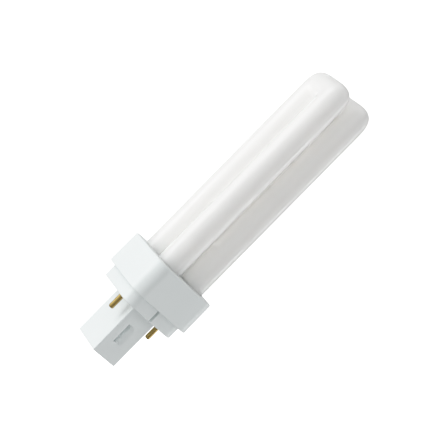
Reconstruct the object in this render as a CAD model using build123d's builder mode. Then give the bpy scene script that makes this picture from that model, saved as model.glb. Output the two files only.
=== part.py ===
from build123d import *

import os
from math import cos, radians, sin

# Quad tube compact fluorescent lamp with a two-pin plug-in cap, in millimetres.
# The origin is the centre of the post's flat end, and +Z runs along the lamp to the tips of the tubes.
# The two contact pins lie on a line along X, and the latch recesses are on the post's +Y and -Y sides.

# Glass
overall_length = 152.0
tube_diameter = 12.2
tube_pitch = 14.9
crown_depth = 12.6
shoulder_squareness = 4.4
bend_steps = 4
bridge_diameter = 7.0
bridge_height = 8.5
bridge_blend = 0.9
leg_insertion = 7.5
seal_taper = 2.6
seal_length = 3.2
seal_width = 11.6
seal_thickness = 3.2
dome_round = 5.2
exhaust_tip_diameter = 3.0
exhaust_tip_length = 3.4
exhaust_tip_root = 1.3

# Tube holder
holder_width = 35.4
holder_corner = 6.2
holder_height = 16.2
holder_wall = 1.5
holder_plate = 1.6
holder_draft = 0.5
holder_top_round = 0.7
holder_rim_round = 0.3
tube_clearance = 0.25
rib_width = 2.0
rib_depth = 1.8
cement_depth = 4.0

# End cap
neck_width = 30.7
neck_corner = 5.7
neck_height = 6.1
neck_round = 0.4
cap_wall = 1.4
cap_floor = 1.5
flange_height = 3.0
flange_clearance = 0.1
keyway_width = 1.3
keyway_depth = 1.9
keyway_offset = 0.2
post_length = 24.6
post_width = 13.6
post_depth = 19.4
post_end_wall = 1.3
post_side_wall = 1.3
post_latch_wall = 2.6
post_corner = 0.35
post_end_round = 0.4
recess_offset = 2.65
recess_width = 4.6
recess_low = 7.9
recess_high = 17.9
recess_depth = 1.7
recess_flat = 0.3
recess_ramp = 2.6
recess_round = 2.4

# Contact pins
pin_from_side = 3.3
pin_offset = 4.45
pin_diameter = 2.4
pin_shank_diameter = 2.8
pin_length = 7.2
pin_tip_round = 0.8
pin_clearance = 0.03
boss_diameter = 5.0
boss_height = 0.9
pin_head_diameter = 3.8
pin_head_height = 0.8
pin_cup_diameter = 1.9
pin_cup_height = 2.2
pin_bore_depth = 1.8

# Starter and capacitor inside the post
starter_diameter = 8.0
starter_glass = 0.6
starter_body = 13.2
starter_shoulder = 1.6
starter_seal_width = 6.6
starter_seal_thickness = 2.4
starter_seal_height = 3.6
starter_seal_round = 0.8
starter_wire_inside = 1.0
starter_gap = 0.3
electrode_spacing = 4.4
strip_thickness = 0.25
strip_width = 1.8
strip_low = 4.4
strip_turn = 2.1
strip_rise = 5.6
strip_lap = 0.5
strip_bend_share = 0.45
electrode_gap = 0.6
electrode_crank_top = 2.4
electrode_crank_foot = 0.6
electrode_end_height = 2.0
capacitor_width = 7.4
capacitor_thickness = 3.2
capacitor_height = 9.0
capacitor_round = 1.0

# Wires, splices and sleeves
wire_diameter = 0.6
thin_wire_diameter = 0.5
wire_clearance = 0.02
seal_wire_spacing = 5.0
splice_length = 4.0
splice_width = 1.6
splice_offset = 1.0
splice_above_seal = 1.6
sleeve_thickness = 0.3
sleeve_overhang = 0.6
capacitor_wire_rise = 3.0
capacitor_wire_bend = 0.8
starter_wire_drop = 2.2
starter_wire_rise = 2.4
starter_wire_bend = 1.5
pin_wire_drop = 1.4
pin_wire_rise = 1.0
pin_wire_bend = 0.8

# Levels along the lamp
neck_top = post_length + neck_height
holder_top = neck_top + holder_height
plate_under = holder_top - holder_plate
flange_top = neck_top + flange_height
cap_inside = post_length + cap_floor
boss_top = cap_inside + boss_height
pin_top = boss_top + pin_head_height + pin_cup_height
leg_foot = holder_top - leg_insertion
seal_foot = leg_foot - seal_taper - seal_length
bridge_level = holder_top + bridge_height
starter_top = post_end_wall + starter_body + starter_shoulder + starter_seal_height
splice_low = starter_top + splice_above_seal
splice_middle = splice_low + splice_length / 2

# Places across the lamp
pin_spacing = neck_width - 2 * pin_from_side
half_pitch = tube_pitch / 2
tube_radius = tube_diameter / 2
inner_bend = half_pitch - tube_radius
bend_centre = overall_length - crown_depth - inner_bend
cavity_width = post_width - 2 * post_side_wall
cavity_depth = post_depth - 2 * post_latch_wall
holder_inside = holder_width - 2 * holder_wall
starter_y = -cavity_depth / 2 + starter_gap + starter_diameter / 2
capacitor_y = cavity_depth / 2 - starter_gap - capacitor_thickness / 2
sides = {"a": 1, "b": -1}

# Room on each side of a level when edges or faces are picked by it
pick_margin = 0.1


def upright_plane(x, y):
    """A plane through the point, seen from the front, with Z up in it."""
    return Plane(origin=(x, y, 0), x_dir=(1, 0, 0), z_dir=(0, -1, 0))


def bend_reach(turn):
    """Distance from the bend's centre to its outer outline, which is a rounded square."""
    half_width = half_pitch + tube_radius
    height = crown_depth + inner_bend
    across = abs(cos(turn) / half_width) ** shoulder_squareness
    upward = abs(sin(turn) / height) ** shoulder_squareness
    return (across + upward) ** (-1 / shoulder_squareness)


def wire(points, radii, diameter):
    """A round wire along straight runs with an arc at each corner."""
    with BuildPart() as piece:
        with BuildLine() as route:
            FilletPolyline(*points, radius=radii)
        with BuildSketch(Plane(origin=route.line @ 0, z_dir=route.line % 0)):
            Circle(diameter / 2)
        sweep()
    return piece.part


def save(part, name):
    part.label = name
    export_step(part, f"parts/{name}.step")


os.makedirs("parts", exist_ok=True)

# Discharge tube: two bent tubes, joined by a bridge at the foot of one pair of legs
with BuildPart() as discharge_tube:
    for step in range(bend_steps + 1):
        turn = radians(90 * step / bend_steps)
        reach = bend_reach(turn)
        outward = Vector(0, cos(turn), sin(turn))
        centre = Vector(half_pitch, 0, bend_centre) + outward * (inner_bend + reach) / 2
        along = Vector(0, -sin(turn), cos(turn))
        with BuildSketch(Plane(origin=centre, x_dir=outward, z_dir=along)):
            if step == 0:
                Circle(tube_radius)
            else:
                Ellipse((reach - inner_bend) / 2, tube_radius)
    loft()
    mirror(about=Plane.XZ)
    mirror(about=Plane.YZ)
    with BuildSketch(Plane.XY.offset(leg_foot)):
        with GridLocations(tube_pitch, tube_pitch, 2, 2):
            Circle(tube_radius)
    extrude(amount=bend_centre - leg_foot)
    for x in (half_pitch, -half_pitch):
        with BuildSketch(Plane.XY.offset(leg_foot)):
            with Locations((x, half_pitch)):
                Circle(tube_radius)
        with BuildSketch(Plane.XY.offset(leg_foot - seal_taper)):
            with Locations((x, half_pitch)):
                Ellipse(seal_width / 2, seal_thickness / 2)
        loft()
    with BuildSketch(Plane.XY.offset(seal_foot)):
        with Locations((half_pitch, half_pitch), (-half_pitch, half_pitch)):
            Ellipse(seal_width / 2, seal_thickness / 2)
    extrude(amount=seal_length)
    closed_ends = discharge_tube.edges().filter_by(GeomType.CIRCLE)
    closed_ends = closed_ends.filter_by_position(Axis.Z, leg_foot - pick_margin, leg_foot + pick_margin)
    closed_ends = closed_ends.filter_by_position(Axis.Y, -tube_pitch, -inner_bend)
    fillet(closed_ends, radius=dome_round)
    with BuildSketch(Plane.XY.offset(leg_foot - exhaust_tip_length)):
        with Locations((half_pitch, -half_pitch), (-half_pitch, -half_pitch)):
            Circle(exhaust_tip_diameter / 2)
    extrude(amount=exhaust_tip_length + exhaust_tip_root)
    with BuildSketch(Plane.YZ.offset(-half_pitch)):
        with Locations((-half_pitch, bridge_level)):
            Circle(bridge_diameter / 2)
    extrude(amount=tube_pitch)
    joints = discharge_tube.edges().filter_by_position(
        Axis.Z, bridge_level - bridge_diameter, bridge_level + bridge_diameter
    )
    joints = joints.filter_by_position(Axis.X, -half_pitch + pick_margin, half_pitch - pick_margin)
    fillet(joints, radius=bridge_blend)
save(discharge_tube.part, "discharge_tube")

# Tube holder: a square shell, open below, with a hole in its top for each leg and four stop ribs inside
rib_centre = holder_inside / 2 - rib_depth / 2
with BuildPart() as tube_holder:
    with BuildSketch(Plane.XY.offset(neck_top)):
        RectangleRounded(holder_width, holder_width, holder_corner)
    extrude(amount=holder_height, taper=holder_draft)
    fillet(tube_holder.faces().sort_by(Axis.Z)[-1].edges(), radius=holder_top_round)
    fillet(tube_holder.faces().sort_by(Axis.Z)[0].edges(), radius=holder_rim_round)
    with BuildSketch(Plane.XY.offset(neck_top)):
        RectangleRounded(holder_inside, holder_inside, holder_corner - holder_wall)
    extrude(amount=holder_height - holder_plate, mode=Mode.SUBTRACT)
    with BuildSketch(Plane.XY.offset(plate_under)):
        with GridLocations(tube_pitch, tube_pitch, 2, 2):
            Circle(tube_radius + tube_clearance)
    extrude(amount=holder_plate, mode=Mode.SUBTRACT)
    with BuildSketch(Plane.XY.offset(flange_top)):
        with Locations((rib_centre, 0), (-rib_centre, 0)):
            Rectangle(rib_depth, rib_width)
        with Locations((0, rib_centre), (0, -rib_centre)):
            Rectangle(rib_width, rib_depth)
    extrude(amount=plate_under - flange_top)
save(tube_holder.part, "tube_holder")

# Cement poured round the legs under the holder's plate
with BuildPart() as tube_cement:
    with BuildSketch(Plane.XY.offset(plate_under)):
        RectangleRounded(holder_inside, holder_inside, holder_corner - holder_wall)
        with GridLocations(tube_pitch, tube_pitch, 2, 2):
            Circle(tube_radius, mode=Mode.SUBTRACT)
        with Locations((rib_centre, 0), (-rib_centre, 0)):
            Rectangle(rib_depth, rib_width, mode=Mode.SUBTRACT)
        with Locations((0, rib_centre), (0, -rib_centre)):
            Rectangle(rib_width, rib_depth, mode=Mode.SUBTRACT)
    extrude(amount=-cement_depth)
save(tube_cement.part, "tube_cement")

# End cap: flange, neck and hollow post in one moulding, open above
flange_width = holder_inside - 2 * flange_clearance
neck_inside = neck_width - 2 * cap_wall
with BuildPart() as end_cap:
    with BuildSketch(Plane.XY):
        RectangleRounded(post_width, post_depth, post_corner)
    extrude(amount=cap_inside)
    fillet(end_cap.faces().sort_by(Axis.Z)[0].edges(), radius=post_end_round)
    with BuildSketch(Plane.XY.offset(post_length)):
        RectangleRounded(neck_width, neck_width, neck_corner)
    extrude(amount=neck_height)
    neck_under = end_cap.faces().filter_by(Axis.Z)
    neck_under = neck_under.filter_by_position(Axis.Z, post_length - pick_margin, post_length + pick_margin)
    fillet(neck_under[0].outer_wire().edges(), radius=neck_round)
    with BuildSketch(Plane.XY.offset(neck_top)):
        RectangleRounded(flange_width, flange_width, holder_corner - holder_wall - flange_clearance)
    extrude(amount=flange_height)
    with BuildSketch(Plane.XY.offset(cap_inside)):
        RectangleRounded(neck_inside, neck_inside, neck_corner - cap_wall)
    extrude(amount=flange_top - cap_inside, mode=Mode.SUBTRACT)
    with BuildSketch(Plane.XY.offset(post_end_wall)):
        Rectangle(cavity_width, cavity_depth)
    extrude(amount=cap_inside - post_end_wall, mode=Mode.SUBTRACT)
    # Keyway in the neck, with its own wall behind it
    with BuildSketch(Plane.XY.offset(post_length)):
        with Locations((keyway_offset, neck_width / 2)):
            Rectangle(keyway_width + 2 * cap_wall, keyway_depth + cap_wall, align=(Align.CENTER, Align.MAX))
    extrude(amount=neck_height)
    with BuildSketch(Plane.XY.offset(post_length)):
        with Locations((keyway_offset, neck_width / 2)):
            Rectangle(keyway_width, 2 * keyway_depth)
    extrude(amount=neck_height, mode=Mode.SUBTRACT)
    # Pin bosses and holes
    with BuildSketch(Plane.XY.offset(cap_inside)):
        with Locations((pin_spacing / 2, pin_offset), (-pin_spacing / 2, pin_offset)):
            Circle(boss_diameter / 2)
    extrude(amount=boss_height)
    with BuildSketch(Plane.XY.offset(post_length)):
        with Locations((pin_spacing / 2, pin_offset), (-pin_spacing / 2, pin_offset)):
            Circle(pin_shank_diameter / 2 + pin_clearance)
    extrude(amount=cap_floor + boss_height, mode=Mode.SUBTRACT)
    # Latch recesses: steep along one side, with a floor that ramps out to the surface on the other side
    # and towards the post's end
    for side in (1, -1):
        face = Plane(origin=(0, side * post_depth / 2, 0), x_dir=(-side, 0, 0), z_dir=(0, side, 0))
        opening = (recess_width, recess_low, recess_high, recess_round)
        floor = (recess_flat, recess_low + recess_ramp, recess_high - recess_flat, recess_flat / 2)
        for sunk, (width, low, high, corner) in ((0, opening), (recess_depth, floor)):
            with BuildSketch(face.offset(-sunk)):
                with BuildLine():
                    foot = Line((-recess_offset, low), (width - recess_offset, low))
                    ramp = Line(foot @ 1, (width - recess_offset, high - corner))
                    RadiusArc(ramp @ 1, (width - recess_offset - corner, high), -corner)
                    Polyline((width - recess_offset - corner, high), (-recess_offset, high), foot @ 0)
                make_face()
        loft(mode=Mode.SUBTRACT)
save(end_cap.part, "end_cap")

# Contact pins: turned brass, with a head that seats on the boss and a cup for the wire
for name, side in sides.items():
    x = side * pin_spacing / 2
    pin_radius = pin_diameter / 2
    tip = post_length - pin_length
    with BuildPart() as contact_pin:
        with BuildSketch(upright_plane(x, pin_offset)):
            with BuildLine():
                end = Line((0, tip), (pin_radius - pin_tip_round, tip))
                rounded = RadiusArc(end @ 1, (pin_radius, tip + pin_tip_round), -pin_tip_round)
                Polyline(
                    rounded @ 1,
                    (pin_radius, post_length),
                    (pin_shank_diameter / 2, post_length),
                    (pin_shank_diameter / 2, boss_top),
                    (pin_head_diameter / 2, boss_top),
                    (pin_head_diameter / 2, boss_top + pin_head_height),
                    (pin_cup_diameter / 2, boss_top + pin_head_height),
                    (pin_cup_diameter / 2, pin_top),
                    (wire_diameter / 2 + wire_clearance, pin_top),
                    (wire_diameter / 2 + wire_clearance, pin_top - pin_bore_depth),
                    (0, pin_top - pin_bore_depth),
                    (0, tip),
                )
            make_face()
        revolve(axis=Axis((x, pin_offset, 0), (0, 0, 1)))
    save(contact_pin.part, f"contact_pin_{name}")

# Starter bulb: a small glass bulb, dome down, with a flat seal round its two wires
starter_radius = starter_diameter / 2
body_top = post_end_wall + starter_body
shoulder_top = body_top + starter_shoulder
with BuildPart() as starter_bulb:
    with BuildSketch(upright_plane(0, starter_y)):
        with BuildLine():
            RadiusArc((0, post_end_wall), (starter_radius, post_end_wall + starter_radius), -starter_radius)
            Line((starter_radius, post_end_wall + starter_radius), (starter_radius, body_top))
            Line((starter_radius, body_top), (starter_seal_width / 2, shoulder_top))
            Line((starter_seal_width / 2, shoulder_top), (0, shoulder_top))
            Line((0, shoulder_top), (0, post_end_wall))
        make_face()
    revolve(axis=Axis((0, starter_y, 0), (0, 0, 1)))
    bore = starter_radius - starter_glass
    with BuildSketch(upright_plane(0, starter_y)):
        with BuildLine():
            RadiusArc((0, post_end_wall + starter_glass), (bore, post_end_wall + starter_radius), -bore)
            Line((bore, post_end_wall + starter_radius), (bore, body_top))
            Line((bore, body_top), (0, body_top))
            Line((0, body_top), (0, post_end_wall + starter_glass))
        make_face()
    revolve(axis=Axis((0, starter_y, 0), (0, 0, 1)), mode=Mode.SUBTRACT)
    with BuildSketch(Plane.XY.offset(shoulder_top)):
        with Locations((0, starter_y)):
            RectangleRounded(starter_seal_width, starter_seal_thickness, starter_seal_round)
    extrude(amount=starter_seal_height)
    with BuildSketch(Plane.XY.offset(body_top)):
        with Locations((0, starter_y)):
            with GridLocations(electrode_spacing, 0, 2, 1):
                Circle(wire_diameter / 2)
    extrude(amount=starter_top - body_top, mode=Mode.SUBTRACT)
save(starter_bulb.part, "starter_bulb")

# Bimetal strip: a hairpin strip welded to one of the starter's wires
strip_x = electrode_spacing / 2
wire_end = body_top - starter_wire_inside
strip_top = strip_low + strip_rise
with BuildPart() as starter_bimetal_strip:
    with BuildSketch(Plane.XY.offset(splice_middle)):
        with Locations((strip_x, starter_y)):
            Circle(wire_diameter / 2)
    extrude(amount=wire_end - splice_middle)
    with BuildLine(upright_plane(0, starter_y)) as strip_route:
        FilletPolyline(
            (strip_x, wire_end + strip_lap),
            (strip_x, strip_low),
            (strip_x - strip_turn, strip_low),
            (strip_x - strip_turn, strip_top),
            radius=strip_turn * strip_bend_share,
        )
    with BuildSketch(Plane.XY.offset(wire_end + strip_lap)):
        with Locations((strip_x, starter_y)):
            Rectangle(strip_thickness, strip_width)
    sweep()
save(starter_bimetal_strip.part, "starter_bimetal_strip")

# Fixed electrode: the starter's other wire, set over towards the strip
rod_x = -electrode_spacing / 2
rod_inner = strip_x - strip_turn - strip_thickness / 2 - wire_diameter / 2 - electrode_gap
fixed_electrode = wire(
    [
        (rod_x, starter_y, splice_middle),
        (rod_x, starter_y, strip_top + electrode_crank_top),
        (rod_inner, starter_y, strip_top + electrode_crank_foot),
        (rod_inner, starter_y, strip_low + electrode_end_height),
    ],
    wire_diameter,
    wire_diameter,
)
save(fixed_electrode, "starter_fixed_electrode")

# Capacitor: a dipped block that stands beside the starter, with its wires at the top
with BuildPart() as noise_capacitor:
    with BuildSketch(Plane.XY.offset(post_end_wall)):
        with Locations((0, capacitor_y)):
            Rectangle(capacitor_width, capacitor_thickness)
    extrude(amount=capacitor_height)
    fillet(noise_capacitor.edges().filter_by(Axis.Z), radius=capacitor_round)
save(noise_capacitor.part, "noise_capacitor")

# Splices, sleeves and wires of each side
capacitor_top = post_end_wall + capacitor_height
for name, side in sides.items():
    electrode_x = side * electrode_spacing / 2
    branch_y = starter_y + splice_offset
    with BuildPart() as splice:
        with BuildSketch(Plane.XY.offset(splice_low)):
            with Locations((electrode_x, starter_y + splice_offset / 2)):
                SlotCenterToCenter(splice_offset, splice_width, rotation=90)
        extrude(amount=splice_length)
        with BuildSketch(Plane.XY.offset(splice_low)):
            with Locations((electrode_x, starter_y)):
                Circle(wire_diameter / 2 + wire_clearance)
        extrude(amount=splice_length, mode=Mode.SUBTRACT)
        with BuildSketch(Plane.XY.offset(splice_low)):
            with Locations((electrode_x, branch_y)):
                Circle(thin_wire_diameter / 2 + wire_clearance)
        extrude(amount=splice_length / 2, mode=Mode.SUBTRACT)
    save(splice.part, f"splice_{name}")

    with BuildPart() as splice_sleeve:
        with BuildSketch(Plane.XY.offset(splice_low - sleeve_overhang)):
            with Locations((electrode_x, starter_y + splice_offset / 2)):
                SlotCenterToCenter(splice_offset, splice_width + 2 * sleeve_thickness, rotation=90)
                SlotCenterToCenter(splice_offset, splice_width, rotation=90, mode=Mode.SUBTRACT)
        extrude(amount=splice_length + 2 * sleeve_overhang)
    save(splice_sleeve.part, f"splice_sleeve_{name}")

    capacitor_wire = wire(
        [
            (electrode_x, capacitor_y, capacitor_top),
            (electrode_x, capacitor_y, capacitor_top + capacitor_wire_rise),
            (electrode_x, branch_y, splice_low - sleeve_overhang),
            (electrode_x, branch_y, splice_middle),
        ],
        capacitor_wire_bend,
        thin_wire_diameter,
    )
    save(capacitor_wire, f"capacitor_wire_{name}")

    inner_x = side * (half_pitch - seal_wire_spacing / 2)
    starter_wire = wire(
        [
            (inner_x, half_pitch, seal_foot),
            (inner_x, half_pitch, seal_foot - starter_wire_drop),
            (electrode_x, starter_y, splice_low + splice_length + starter_wire_rise),
            (electrode_x, starter_y, splice_middle),
        ],
        starter_wire_bend,
        wire_diameter,
    )
    save(starter_wire, f"starter_wire_{name}")

    outer_x = side * (half_pitch + seal_wire_spacing / 2)
    pin_x = side * pin_spacing / 2
    pin_wire = wire(
        [
            (outer_x, half_pitch, seal_foot),
            (outer_x, half_pitch, seal_foot - pin_wire_drop),
            (pin_x, pin_offset, pin_top + pin_wire_rise),
            (pin_x, pin_offset, pin_top - pin_bore_depth),
        ],
        pin_wire_bend,
        wire_diameter,
    )
    save(pin_wire, f"pin_wire_{name}")
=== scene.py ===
from math import cos, pi, radians, sin, sqrt

import bmesh
import bpy
from mathutils import Matrix, Vector


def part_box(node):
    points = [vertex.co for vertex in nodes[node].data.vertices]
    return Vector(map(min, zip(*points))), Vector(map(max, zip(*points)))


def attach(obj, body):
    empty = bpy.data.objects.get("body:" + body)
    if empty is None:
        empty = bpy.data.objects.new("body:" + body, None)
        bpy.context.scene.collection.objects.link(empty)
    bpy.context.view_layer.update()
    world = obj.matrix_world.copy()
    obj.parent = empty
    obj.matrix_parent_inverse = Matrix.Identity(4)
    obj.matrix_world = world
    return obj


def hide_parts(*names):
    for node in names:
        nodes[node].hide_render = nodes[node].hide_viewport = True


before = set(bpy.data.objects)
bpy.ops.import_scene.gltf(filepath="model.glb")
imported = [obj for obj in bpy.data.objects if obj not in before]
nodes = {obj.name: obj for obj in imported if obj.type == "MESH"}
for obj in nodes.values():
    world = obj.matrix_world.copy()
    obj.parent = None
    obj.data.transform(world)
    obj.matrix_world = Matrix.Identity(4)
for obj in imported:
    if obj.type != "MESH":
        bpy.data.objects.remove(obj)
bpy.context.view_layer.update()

# Quad tube lamp, standing on the end of its post. Metres, +Z towards the tips of the tubes.
mm = 0.001
sameSpot = 1e-6      # places closer than this are the same
up = Vector((0, 0, 1))
scene = bpy.context.scene


def clearSelection():
    if bpy.context.mode != "OBJECT":
        bpy.ops.object.mode_set(mode="OBJECT")
    bpy.ops.object.select_all(action="DESELECT")


def makeActive(piece):
    clearSelection()
    piece.select_set(True)
    bpy.context.view_layer.objects.active = piece


# Put the place and size of a piece into its mesh
def settle(piece):
    makeActive(piece)
    bpy.ops.object.transform_apply(location=True, rotation=True, scale=True)


# Shader nodes, with their inputs set by name (an underscore stands for a space)
def addNode(tree, kind, **inputs):
    node = tree.nodes.new(kind)
    for name, value in inputs.items():
        node.inputs[name.replace("_", " ")].default_value = value
    return node


def shaderOf(material):
    return material.node_tree.nodes["Principled BSDF"]


def startMaterial(name, settings):
    made = bpy.data.materials.new(name)
    made.use_nodes = True
    for socket, value in settings.items():
        shaderOf(made).inputs[socket].default_value = value
    return made


# Camera: level with the lamp, and rolled so that the lamp lies along the picture's diagonal
view = {
    "turn": 56.8,               # degrees from the pin side (+X) towards the latch side (+Y)
    "rise": 0.5,                # degrees above level
    "roll": 45.4,               # slope of the lamp in the picture
    "distance": 0.625,
    "aimAcross": -2.5 * mm,
    "aimUp": 77.35 * mm,
    "pixelsPerMetre": 2359.0,   # at the aimed point
    "pictureLong": 440,
    "sensor": 36.0,
    "nearest": 0.02,
    "farthest": 30,
}
turn, rise = radians(view["turn"]), radians(view["rise"])
toCamera = Vector((cos(turn) * cos(rise), sin(turn) * cos(rise), sin(rise)))
levelFront = Vector((cos(turn), sin(turn), 0))
levelRight = Vector((-sin(turn), cos(turn), 0))


def makeCamera():
    aim = levelRight * view["aimAcross"] + up * view["aimUp"]
    data = bpy.data.cameras.new("photoCamera")
    data.sensor_width = view["sensor"]
    focalPixels = view["pixelsPerMetre"] * view["distance"]
    data.lens = focalPixels * view["sensor"] / view["pictureLong"]
    data.clip_start = view["nearest"]
    data.clip_end = view["farthest"]
    camera = bpy.data.objects.new("photoCamera", data)
    scene.collection.objects.link(camera)
    cameraUp = toCamera.cross(levelRight)
    lean = radians(90 - view["roll"])
    right = levelRight * cos(lean) + cameraUp * sin(lean)
    above = -levelRight * sin(lean) + cameraUp * cos(lean)
    turned = Matrix((right, above, toCamera)).transposed()
    camera.matrix_world = Matrix.Translation(aim + toCamera * view["distance"]) @ turned.to_4x4()
    scene.camera = camera


makeCamera()
print("camera ready")


# Studio: a pale floor without an edge, a large soft box on the left, and two narrow ones on the right, one of
# them a little behind the lamp. The sky glows on the left and behind the lamp. It is dim on the right, so
# that the glass and the pins have something dark to reflect.
studio = {
    "floorSize": 8.0,
    "floor": {
        "Base Color": (0.62, 0.62, 0.62, 1),
        "Roughness": 0.9,
        "Specular IOR Level": 0.0,
        "Emission Color": (1, 1, 1, 1),
        "Emission Strength": 1.40,       # makes the floor as white as the backdrop
    },
    "backdrop": 1.6,                     # the sky as the camera sees it
    "overhead": 0.3,                     # watts a square metre
    "overheadSoftness": 60,              # degrees
    "lampMiddle": 80 * mm,
    "boxDistance": 1.1,
    "boxHeight": 1.3,
}

# Glows of the sky: towards which side (across, to the camera), between which cosines they grow, how bright
glows = {
    "room": {"side": (-0.85, 0.53), "from": -0.8, "to": 0.9, "dark": 0.03, "bright": 0.77},
    "wall": {"side": (0.2, -0.98), "from": 0.25, "to": 0.95, "dark": 0.0, "bright": 0.60},
}

# Soft boxes: on which side of the lamp they stand (across, to the camera)
softBoxes = {
    "keyBox": {"side": (-0.97, 0.25), "width": 0.60, "brightness": 2.65},
    "fillBox": {"side": (0.94, 0.34), "width": 0.26, "brightness": 2.2},
    "rimBox": {"side": (0.95, -0.30), "width": 0.20, "brightness": 6.0},
}


# Level direction from the lamp to a side of the studio
def towards(side):
    across, front = side
    return (levelRight * across + levelFront * front).normalized()


def makeFloor():
    bpy.ops.mesh.primitive_plane_add(size=studio["floorSize"])
    floor = bpy.context.active_object
    floor.name = "floor"
    floor.data.materials.append(startMaterial("paleFloor", studio["floor"]))
    # The light comes up through the floor
    floor.visible_diffuse = False
    floor.visible_glossy = False
    floor.visible_shadow = False


# A glow that grows towards one side of the studio
def addGlow(tree, direction, glow):
    facing = tree.nodes.new("ShaderNodeVectorMath")
    facing.operation = "DOT_PRODUCT"
    facing.inputs[1].default_value = towards(glow["side"])
    light = addNode(
        tree, "ShaderNodeMapRange",
        From_Min=glow["from"], From_Max=glow["to"], To_Min=glow["dark"], To_Max=glow["bright"],
    )
    light.interpolation_type = "SMOOTHSTEP"
    tree.links.new(direction, facing.inputs[0])
    tree.links.new(facing.outputs["Value"], light.inputs["Value"])
    return light.outputs["Result"]


# The sky: two glows that add up. The camera sees a plain backdrop instead.
def makeSky():
    sky = bpy.data.worlds.new("studioSky")
    scene.world = sky
    sky.use_nodes = True
    tree = sky.node_tree
    background = tree.nodes["Background"]
    background.inputs["Color"].default_value = (1, 1, 1, 1)
    direction = tree.nodes.new("ShaderNodeTexCoord").outputs["Generated"]
    both = tree.nodes.new("ShaderNodeMath")
    seen = tree.nodes.new("ShaderNodeLightPath")
    choose = addNode(tree, "ShaderNodeMix", B=studio["backdrop"])
    tree.links.new(addGlow(tree, direction, glows["room"]), both.inputs[0])
    tree.links.new(addGlow(tree, direction, glows["wall"]), both.inputs[1])
    tree.links.new(seen.outputs["Is Camera Ray"], choose.inputs["Factor"])
    tree.links.new(both.outputs["Value"], choose.inputs["A"])
    tree.links.new(choose.outputs["Result"], background.inputs["Strength"])


def makeSoftBox(name, box):
    data = bpy.data.lights.new(name, "AREA")
    data.shape = "RECTANGLE"
    data.size = box["width"]
    data.size_y = studio["boxHeight"]
    data.energy = box["brightness"] * pi * box["width"] * studio["boxHeight"]
    lamp = bpy.data.objects.new(name, data)
    scene.collection.objects.link(lamp)
    direction = towards(box["side"])
    lamp.location = direction * studio["boxDistance"] + up * studio["lampMiddle"]
    lamp.rotation_euler = direction.to_track_quat("Z", "Y").to_euler()
    lamp.visible_camera = False


def makeOverhead():
    data = bpy.data.lights.new("overhead", "SUN")
    data.energy = studio["overhead"]
    data.angle = radians(studio["overheadSoftness"])
    lamp = bpy.data.objects.new("overhead", data)
    lamp.location = up
    scene.collection.objects.link(lamp)


makeFloor()
makeSky()
makeOverhead()
for name, box in softBoxes.items():
    makeSoftBox(name, box)


# Film response: brightness is kept up to the shoulder, and above it rolls off towards white
film = {
    "white": 1.25,                               # brightness that comes out white
    "shoulder": ((0.70, 0.70), (1.0, 0.91)),     # a brightness, and what it comes out as
}


def setFilmResponse():
    settings = scene.view_settings
    settings.view_transform = "Standard"
    settings.use_curve_mapping = True
    mapping = settings.curve_mapping
    mapping.white_level = (film["white"],) * 3
    combined = mapping.curves[3]
    for bright, shown in film["shoulder"]:
        combined.points.new(bright / film["white"], shown)
    mapping.update()


setFilmResponse()
print("studio ready")


# Glass tubes: two bent tubes, each with one leg flattened round its wires and one domed with an exhaust tip,
# joined by a short bridge between the two domed legs
glass = {
    "diameter": 12.2 * mm,
    "facets": 80,
    "crownDepth": 12.6 * mm,     # glass over the inner bend, at the crown
    "squareness": 4.4,           # of the bend's outer outline
    "bendRings": 48,
    "sealLength": 3.2 * mm,
    "sealTaper": 2.6 * mm,
    "sealWidth": 11.6 * mm,
    "sealThickness": 3.2 * mm,
    "taperRings": 10,
    "domeRound": 5.2 * mm,
    "domeRings": 14,
    "tipDiameter": 3.0 * mm,
    "tipLength": 3.4 * mm,
    "tipRings": 5,
    "tipSweep": 81,              # degrees of the tip's rounded end, which is flat in its middle
    "bridgeDiameter": 7.0 * mm,
    "bridgeHeight": 8.5 * mm,    # above the holder
    "bridgeBlend": 1.1 * mm,
    "bridgeRings": 8,
    "bridgeSunk": 0.03 * mm,     # where the flare ends, under the leg's surface
    "bridgeEnd": 0.6 * mm,       # how much deeper the bridge itself ends
    "fineRings": 14,             # along the legs, on each side of the bridge
    "smoothAngle": 40,           # degrees
}
tubesLow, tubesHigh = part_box("discharge_tube")
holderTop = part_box("tube_holder")[1].z
tubeRadius = glass["diameter"] / 2
halfPitch = tubesHigh.x - tubeRadius
innerBend = halfPitch - tubeRadius
bendCentre = tubesHigh.z - glass["crownDepth"] - innerBend
legFoot = tubesLow.z + glass["sealLength"] + glass["sealTaper"]
bridgeLevel = holderTop + glass["bridgeHeight"]


# From the bend's centre to its outer outline, a rounded square
def bendReach(angle):
    power = glass["squareness"]
    across = abs(cos(angle) / (halfPitch + tubeRadius)) ** power
    upward = abs(sin(angle) / (glass["crownDepth"] + innerBend)) ** power
    return (across + upward) ** (-1 / power)


# Select the vertices that pass the test, in edit mode
def selectRing(piece, test):
    bpy.ops.mesh.select_all(action="DESELECT")
    ring = bmesh.from_edit_mesh(piece.data)
    for vertex in ring.verts:
        vertex.select_set(test(vertex.co))
    ring.select_flush(True)
    bmesh.update_edit_mesh(piece.data)


# Extrude the selected ring by a move, then scale the new one about a pivot
def growRing(move, scale=(1, 1, 1), pivot=(0, 0, 0)):
    bpy.ops.mesh.extrude_region_move(TRANSFORM_OT_translate={"value": move})
    if scale != (1, 1, 1):
        bpy.ops.transform.resize(value=scale, center_override=pivot)


# Whether a place, seen from the bend's centre, lies in the half plane that an outward direction and X span
def onSpoke(place, outward):
    along = Vector((0, -outward.z, outward.y))
    return abs(place.dot(along)) < sameSpot and place.dot(outward) > 0


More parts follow.
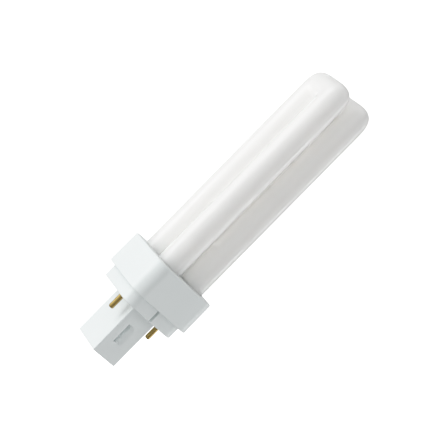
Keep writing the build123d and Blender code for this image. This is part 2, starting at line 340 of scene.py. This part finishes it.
# Half circle of rings from the open end of a tube, drawn out to the rounded square outline
def bendOver(tube, centre):
    step = pi / glass["bendRings"]
    for ring in range(glass["bendRings"]):
        growRing((0, 0, 0))
        bpy.ops.transform.rotate(value=-step, orient_axis="X", center_override=centre)
    for ring in range(1, glass["bendRings"]):
        outward = Vector((0, cos(ring * step), sin(ring * step)))
        selectRing(tube, lambda place: onSpoke(place - centre, outward))
        stretch = (bendReach(ring * step) - innerBend) / glass["diameter"]
        bpy.ops.transform.resize(
            value=(1, stretch, 1),
            orient_type="GLOBAL",
            orient_matrix=(Vector((1, 0, 0)), outward, Vector((1, 0, 0)).cross(outward)),
            orient_matrix_type="GLOBAL",
            constraint_axis=(False, True, False),
            center_override=centre + outward * innerBend,
        )


# Leg from the selected ring down to a flat seal
def growSealedLeg(x):
    growRing((0, 0, legFoot - bendCentre))
    squeezeX, squeezeY = 1.0, 1.0
    for ring in range(1, glass["taperRings"] + 1):
        part = ring / glass["taperRings"]
        eased = part * part * (3 - 2 * part)
        newX = 1 + eased * (glass["sealWidth"] / glass["diameter"] - 1)
        newY = 1 + eased * (glass["sealThickness"] / glass["diameter"] - 1)
        growRing(
            (0, 0, -glass["sealTaper"] / glass["taperRings"]),
            (newX / squeezeX, newY / squeezeY, 1),
            (x, halfPitch, 0),
        )
        squeezeX, squeezeY = newX, newY
    growRing((0, 0, -glass["sealLength"]))
    bpy.ops.mesh.edge_face_add()


# Leg from the selected ring down to a dome with an exhaust tip, with finer rings where the bridge joins it
def growDomedLeg(x):
    growRing((0, 0, bridgeLevel + glass["bridgeDiameter"] - bendCentre))
    for ring in range(2 * glass["fineRings"]):
        growRing((0, 0, -glass["bridgeDiameter"] / glass["fineRings"]))
    domeTop = legFoot + glass["domeRound"]
    growRing((0, 0, domeTop - (bridgeLevel - glass["bridgeDiameter"])))
    radius, drop = tubeRadius, 0.0
    tipRadius = glass["tipDiameter"] / 2
    for ring in range(1, glass["domeRings"] + 1):
        angle = ring / glass["domeRings"] * pi / 2
        newRadius = max(tubeRadius - glass["domeRound"] * (1 - cos(angle)), tipRadius)
        newDrop = glass["domeRound"] * sin(angle)
        growRing((0, 0, drop - newDrop), (newRadius / radius, newRadius / radius, 1), (x, -halfPitch, 0))
        radius, drop = newRadius, newDrop
    growRing((0, 0, tipRadius - glass["tipLength"]))
    drop = 0.0
    for ring in range(1, glass["tipRings"] + 1):
        angle = ring / glass["tipRings"] * radians(glass["tipSweep"])
        newRadius = tipRadius * cos(angle)
        newDrop = tipRadius * sin(angle)
        growRing((0, 0, drop - newDrop), (newRadius / radius, newRadius / radius, 1), (x, -halfPitch, 0))
        radius, drop = newRadius, newDrop
    bpy.ops.mesh.edge_face_add()


# One tube of the pair, bent over in the YZ plane
def makeBentTube(x):
    bpy.ops.mesh.primitive_circle_add(
        vertices=glass["facets"], radius=tubeRadius, location=(x, halfPitch, bendCentre)
    )
    tube = bpy.context.active_object
    settle(tube)
    bpy.ops.object.mode_set(mode="EDIT")
    bpy.ops.mesh.select_all(action="SELECT")
    bendOver(tube, Vector((x, 0, bendCentre)))
    selectRing(tube, lambda place: place.y > 0 and abs(place.z - bendCentre) < sameSpot)
    growSealedLeg(x)
    selectRing(tube, lambda place: place.y < 0 and abs(place.z - bendCentre) < sameSpot)
    growDomedLeg(x)
    bpy.ops.object.mode_set(mode="OBJECT")
    return tube


# Put the bridge's selected ring in its place. It is flared by a part of the blend, from 0 to 1, and follows
# the round side of the leg, with an inset in front of it.
def placeBridgeRing(mesh, side, middle, part, inset):
    flare = glass["bridgeBlend"] * (1 - cos(part * pi / 2))
    for vertex in mesh.verts:
        if vertex.select:
            spoke = vertex.co - middle
            spoke.x = 0
            spoke = spoke.normalized() * (glass["bridgeDiameter"] / 2 + flare)
            legSide = halfPitch - sqrt(tubeRadius ** 2 - spoke.y ** 2)
            vertex.co = middle + spoke
            vertex.co.x = side * (legSide - inset + glass["bridgeSunk"] * part)


# The bridge between the two domed legs, flared at its ends to meet their round sides
def makeBridge():
    middle = Vector((0, -halfPitch, bridgeLevel))
    bpy.ops.mesh.primitive_circle_add(
        vertices=glass["facets"],
        radius=glass["bridgeDiameter"] / 2,
        location=middle,
        rotation=(0, pi / 2, 0),
    )
    bridge = bpy.context.active_object
    settle(bridge)
    lastRing = glass["bridgeRings"] + 1      # the one inside the leg
    for side in (1, -1):
        bpy.ops.object.mode_set(mode="EDIT")
        selectRing(bridge, lambda place: abs(place.x) < sameSpot)
        for ring in range(lastRing + 1):
            growRing((side * mm, 0, 0))
            part = min(ring / glass["bridgeRings"], 1)
            inset = glass["bridgeBlend"] * (1 - sin(part * pi / 2))
            if ring == lastRing:
                inset = -glass["bridgeEnd"]
            placeBridgeRing(bmesh.from_edit_mesh(bridge.data), side, middle, part, inset)
            bmesh.update_edit_mesh(bridge.data)
        bpy.ops.mesh.edge_face_add()
        bpy.ops.object.mode_set(mode="OBJECT")
    return bridge


# Join another piece to this one, or cut it out
def combine(piece, other, operation="UNION"):
    makeActive(piece)
    bpy.ops.object.modifier_add(type="BOOLEAN")
    change = piece.modifiers[-1]
    change.operation = operation
    change.solver = "EXACT"
    change.object = other
    bpy.ops.object.modifier_apply(modifier=change.name)
    bpy.data.objects.remove(other)


# Merge doubles, and turn the normals outwards
def cleanMesh(piece):
    makeActive(piece)
    bpy.ops.object.mode_set(mode="EDIT")
    bpy.ops.mesh.select_all(action="SELECT")
    bpy.ops.mesh.remove_doubles(threshold=sameSpot)
    bpy.ops.mesh.normals_make_consistent(inside=False)
    bpy.ops.object.mode_set(mode="OBJECT")


def copyPiece(piece, move):
    makeActive(piece)
    bpy.ops.object.duplicate()
    bpy.ops.transform.translate(value=move)
    copied = bpy.context.active_object
    settle(copied)
    return copied


def makeGlassTubes():
    clearSelection()
    tubes = makeBentTube(halfPitch)
    cleanMesh(tubes)
    second = copyPiece(tubes, (-2 * halfPitch, 0, 0))
    bridge = makeBridge()
    cleanMesh(bridge)
    combine(tubes, bridge)
    combine(tubes, second)
    cleanMesh(tubes)
    bpy.ops.object.shade_smooth_by_angle(angle=radians(glass["smoothAngle"]))
    tubes.name = "glassTubes"
    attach(tubes, "root")
    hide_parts("discharge_tube")
    return tubes


glassTubes = makeGlassTubes()
print("glass tubes ready", len(glassTubes.data.polygons))


# End cap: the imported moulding, with a deep slot for the latch along the steep side of each recess
capping = {
    "postFace": 9.7 * mm,        # from the middle of the post
    "slotSide": 2.65 * mm,       # from the middle of the post to the slot's outer side
    "slotWidth": 1.45 * mm,
    "slotLow": 8.3 * mm,
    "slotHigh": 17.5 * mm,
    "slotDepth": 2.4 * mm,
    "cutterProud": 0.5 * mm,     # how far the cutter stands out of the post
    "smoothAngle": 30,           # degrees
    "largeFaces": 100,           # weight of the normals, so that flat faces stay flat beside rounded edges
}


def makeSlotCutter(side):
    height = capping["slotHigh"] - capping["slotLow"]
    thickness = capping["slotDepth"] + capping["cutterProud"]
    across = capping["slotSide"] - capping["slotWidth"] / 2
    outward = capping["postFace"] - capping["slotDepth"] + thickness / 2
    clearSelection()
    bpy.ops.mesh.primitive_cube_add(
        size=1,
        location=(side * across, side * outward, capping["slotLow"] + height / 2),
        scale=(capping["slotWidth"], thickness, height),
    )
    cutter = bpy.context.active_object
    settle(cutter)
    return cutter


def makeEndCap():
    cap = bpy.data.objects.new("endCapMoulding", nodes["end_cap"].data.copy())
    scene.collection.objects.link(cap)
    cleanMesh(cap)
    for side in (1, -1):
        combine(cap, makeSlotCutter(side), "DIFFERENCE")
    makeActive(cap)
    bpy.ops.object.shade_smooth_by_angle(angle=radians(capping["smoothAngle"]))
    bpy.ops.object.modifier_add(type="WEIGHTED_NORMAL")
    flatten = cap.modifiers[-1]
    flatten.keep_sharp = True
    flatten.weight = capping["largeFaces"]
    bpy.ops.object.modifier_apply(modifier=flatten.name)
    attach(cap, "root")
    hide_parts("end_cap")
    return cap


endCap = makeEndCap()
print("end cap ready", len(endCap.data.polygons))


# Materials, all on Object coordinates. The scale of a noise is its number of grains to the millimetre, and
# nearly all its values lie between its usual edges.
usualEdges = (0.3, 0.7)


# Hang a texture on the Object coordinates, stretched or turned
def hangTexture(tree, texture, **mapping):
    place = tree.nodes.new("ShaderNodeTexCoord")
    moved = addNode(tree, "ShaderNodeMapping", **mapping)
    tree.links.new(place.outputs["Object"], moved.inputs["Vector"])
    tree.links.new(moved.outputs["Vector"], texture.inputs["Vector"])
    return texture.outputs["Fac"]


def addNoise(material, scale, detail=3.0, stretch=(1, 1, 1), roughness=0.5):
    tree = material.node_tree
    noise = addNode(tree, "ShaderNodeTexNoise", Scale=scale / mm, Detail=detail, Roughness=roughness)
    return hangTexture(tree, noise, Scale=stretch)


# A pattern spread over another range of values
def addRange(tree, pattern, low, high, edges=usualEdges):
    spread = addNode(
        tree, "ShaderNodeMapRange", From_Min=edges[0], From_Max=edges[1], To_Min=low, To_Max=high
    )
    tree.links.new(pattern, spread.inputs["Value"])
    return spread.outputs["Result"]


# Two colours: the first below the pattern's edges, the second above them, and a blend between
def addColors(material, pattern, look):
    tree = material.node_tree
    mix = tree.nodes.new("ShaderNodeMix")
    mix.data_type = "RGBA"
    mix.inputs["A"].default_value = (*look["color"], 1)
    mix.inputs["B"].default_value = (*look["second"], 1)
    share = addRange(tree, pattern, 0, 1, look.get("edges", usualEdges))
    tree.links.new(share, mix.inputs["Factor"])
    tree.links.new(mix.outputs["Result"], shaderOf(material).inputs["Base Color"])


def addSheen(material, pattern, roughness):
    tree = material.node_tree
    tree.links.new(addRange(tree, pattern, *roughness), shaderOf(material).inputs["Roughness"])


# Relief from a pattern: its strength and its height
def addRelief(material, pattern, relief, socket="Normal"):
    tree = material.node_tree
    strength, height = relief
    bump = addNode(tree, "ShaderNodeBump", Strength=strength, Distance=height)
    tree.links.new(pattern, bump.inputs["Height"])
    tree.links.new(bump.outputs["Normal"], shaderOf(material).inputs[socket])


# Two colours in clouds, a fine grain, and a sheen of its own where the look has one
def makeCloudy(name, look):
    made = startMaterial(name, look["shader"])
    addColors(made, addNoise(made, **look["clouds"]), look)
    addRelief(made, addNoise(made, **look["grain"]), look["relief"])
    if "sheen" in look:
        addSheen(made, addNoise(made, **look["sheen"]), look["roughness"])
    return made


coating = {
    "color": (0.850, 0.852, 0.842),
    "second": (0.835, 0.836, 0.826),     # where the coating is a little thinner
    "clouds": {"scale": 0.10, "detail": 4, "stretch": (1, 1, 0.35)},
    "grain": {"scale": 6.0, "detail": 2},
    "relief": (0.15, 0.02 * mm),
    "waves": {"scale": 0.06, "detail": 1, "stretch": (1, 1, 0.25)},
    "waveRelief": (0.5, 0.15 * mm),
    "shader": {
        "Roughness": 0.55,
        "Specular IOR Level": 0.2,
        "Coat Weight": 1.0,              # the clear glass
        "Coat Roughness": 0.15,
        "Coat IOR": 1.5,
        "Subsurface Weight": 1.0,        # the light spreads inside the coating
        "Subsurface Radius": (1.0, 0.97, 0.94),
        "Subsurface Scale": 14 * mm,
    },
}


# White coating seen through clear, slightly wavy glass
def makeCoatedGlass():
    made = makeCloudy("coatedGlass", coating)
    addRelief(made, addNoise(made, **coating["waves"]), coating["waveRelief"], "Coat Normal")
    shaderOf(made).subsurface_method = "BURLEY"
    return made


# Satin white plastic with the fine grain of its mould
plastic = {
    "color": (0.835, 0.884, 0.882),
    "second": (0.820, 0.870, 0.870),
    "clouds": {"scale": 0.08},
    "sheen": {"scale": 0.4, "detail": 4},
    "roughness": (0.34, 0.42),
    "grain": {"scale": 4.0},
    "relief": (0.2, 0.03 * mm),
    "shader": {
        "IOR": 1.52,
        "Subsurface Weight": 0.12,
        "Subsurface Radius": (1.0, 1.0, 1.0),
        "Subsurface Scale": 1.2 * mm,
    },
}

# Pale gritty cement
cement = {
    "color": (0.60, 0.58, 0.53),
    "second": (0.48, 0.46, 0.42),
    "clouds": {"scale": 0.5, "detail": 6, "roughness": 0.65},
    "grain": {"scale": 2.5, "detail": 6, "roughness": 0.7},
    "relief": (0.6, 0.12 * mm),
    "shader": {"Roughness": 0.9},
}

# Clear glass of the starter, with a faint grey film in places
starterGlass = {
    "color": (0.95, 0.97, 0.96),
    "second": (0.80, 0.83, 0.82),
    "clouds": {"scale": 0.25},
    "edges": (0.45, 0.8),
    "grain": {"scale": 0.3, "detail": 2},
    "relief": (0.2, 0.05 * mm),
    "shader": {"Roughness": 0.03, "IOR": 1.5, "Transmission Weight": 0.95},
}

# Red-brown dipped coat of the capacitor, thick and glossy
dippedCoat = {
    "color": (0.36, 0.10, 0.045),
    "second": (0.27, 0.07, 0.03),
    "clouds": {"scale": 0.3},
    "grain": {"scale": 0.5, "detail": 2},
    "relief": (0.5, 0.2 * mm),
    "shader": {"Roughness": 0.25},
}

brass = {
    "color": (0.36, 0.26, 0.090),
    "second": (0.26, 0.18, 0.060),       # tarnish
    "clouds": {"scale": 0.9, "detail": 4},
    "edges": (0.45, 0.75),
    "roughness": (0.14, 0.26),
    "ringPitch": 0.754 * mm,
    "ringWander": 0.4,
    "relief": (0.15, 0.01 * mm),
    "shader": {"Metallic": 1.0},
}
bandPitch = pi / 10      # of the bands of a wave texture whose scale is 1


# Turned metal with fine tool rings round its axis
def makeTurnedBrass():
    made = startMaterial("pinBrass", brass["shader"])
    clouds = addNoise(made, **brass["clouds"])
    addColors(made, clouds, brass)
    addSheen(made, clouds, brass["roughness"])
    rings = addNode(
        made.node_tree, "ShaderNodeTexWave",
        Scale=bandPitch / brass["ringPitch"], Distortion=brass["ringWander"],
    )
    rings.bands_direction = "Z"
    addRelief(made, hangTexture(made.node_tree, rings), brass["relief"])
    return made


drawnMetal = {
    "stretch": (1, 1, 0.08),
    "relief": (0.2, 0.01 * mm),
    "shader": {"Metallic": 1.0},
}
spliceMetal = {
    "color": (0.60, 0.45, 0.22),
    "second": (0.50, 0.37, 0.18),
    "roughness": (0.35, 0.47),
    "lines": 3,              # to the millimetre
}
nickel = {
    "color": (0.60, 0.57, 0.52),
    "second": (0.48, 0.45, 0.41),
    "roughness": (0.28, 0.40),
    "lines": 6,
}
bimetal = {
    "color": (0.55, 0.53, 0.50),
    "second": (0.44, 0.42, 0.40),
    "roughness": (0.30, 0.42),
    "lines": 4,
}


# Drawn wire and strip: metal with fine lines along it
def makeDrawnMetal(name, look):
    made = startMaterial(name, drawnMetal["shader"])
    lines = addNoise(made, look["lines"], stretch=drawnMetal["stretch"])
    addColors(made, lines, look)
    addSheen(made, lines, look["roughness"])
    addRelief(made, lines, drawnMetal["relief"])
    return made


sleeving = {
    "color": (0.70, 0.68, 0.60),
    "second": (0.58, 0.56, 0.49),
    "edges": (0, 1),
    "threads": 3,            # to the millimetre
    "slant": 45,             # degrees
    "fluff": {"scale": 5, "detail": 4},
    "relief": (0.5, 0.05 * mm),
    "shader": {"Roughness": 0.8},
}


# Woven glass-fibre sleeve
def makeSleeveWeave():
    made = startMaterial("sleeveWeave", sleeving["shader"])
    weave = addNode(made.node_tree, "ShaderNodeTexChecker", Scale=sleeving["threads"] / mm)
    slant = radians(sleeving["slant"])
    addColors(made, hangTexture(made.node_tree, weave, Rotation=(slant, 0, slant)), sleeving)
    addRelief(made, addNoise(made, **sleeving["fluff"]), sleeving["relief"])
    return made


def dress(piece, material):
    piece.data.materials.clear()
    piece.data.materials.append(material)


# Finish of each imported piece, by how its name starts
nickelWire = makeDrawnMetal("nickelWire", nickel)
finishes = {
    "discharge_tube": makeCoatedGlass(),
    "tube_holder": makeCloudy("holderPlastic", plastic),
    "tube_cement": makeCloudy("cement", cement),
    "end_cap": makeCloudy("capPlastic", plastic),
    "contact_pin": makeTurnedBrass(),
    "starter_bulb": makeCloudy("clearGlass", starterGlass),
    "starter_bimetal": makeDrawnMetal("bimetal", bimetal),
    "starter_fixed": nickelWire,
    "noise_capacitor": makeCloudy("dippedCoat", dippedCoat),
    "capacitor_wire": nickelWire,
    "splice_sleeve": makeSleeveWeave(),
    "splice": makeDrawnMetal("spliceMetal", spliceMetal),
    "starter_wire": nickelWire,
    "pin_wire": nickelWire,
}
dress(glassTubes, finishes["discharge_tube"])
dress(endCap, finishes["end_cap"])
for name, node in nodes.items():
    for start, finish in finishes.items():
        if name.startswith(start):
            dress(node, finish)
            break
print("materials ready")
